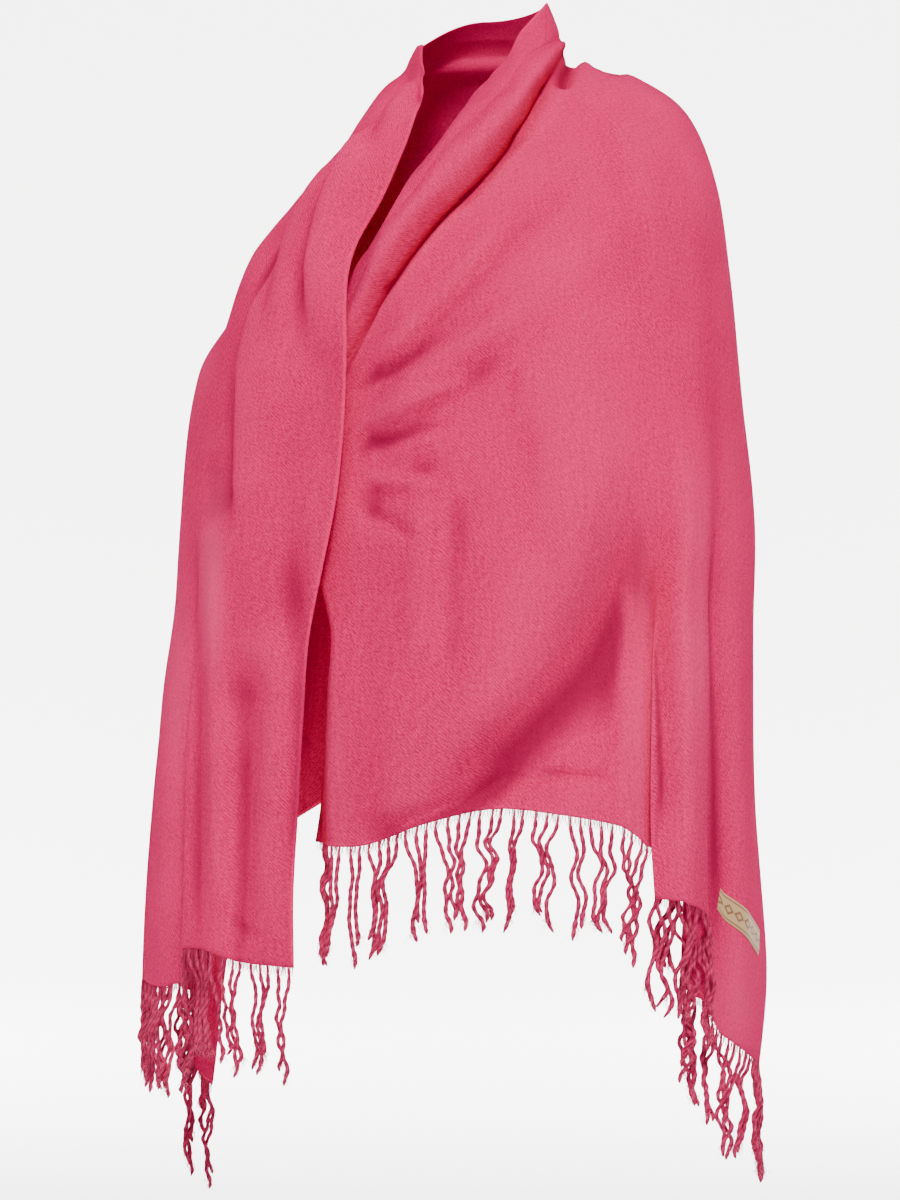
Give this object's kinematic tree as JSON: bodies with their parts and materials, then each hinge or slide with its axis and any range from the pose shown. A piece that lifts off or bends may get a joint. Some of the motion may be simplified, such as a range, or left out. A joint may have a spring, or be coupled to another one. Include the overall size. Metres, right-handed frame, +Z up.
{
  "type": "pashmina scarf",
  "caption": "Pink woven pashmina scarf worn as a wrap: over both shoulders, right end hanging over the left end in front, rolled collar, twisted fringes at both ends.",
  "frame": {"origin": "middle of the base of the wearer's neck, where the shoulders hold the scarf", "axes": "+Z up, -Y the way the wearer faces, +X towards the wearer's left"},
  "size_m": [0.5859, 0.3603, 1.0786],
  "materials": {
    "cloth": "soft twill weave with a silky sheen",
    "fringe": "twisted yarn",
    "label": "woven label, satin"
  },
  "bodies": {
    "root": {"right_end": "cloth", "back": "cloth", "left_end": "cloth", "fringe_right": "fringe", "fringe_left": "fringe", "label": "label"}
  },
  "joints": []
}
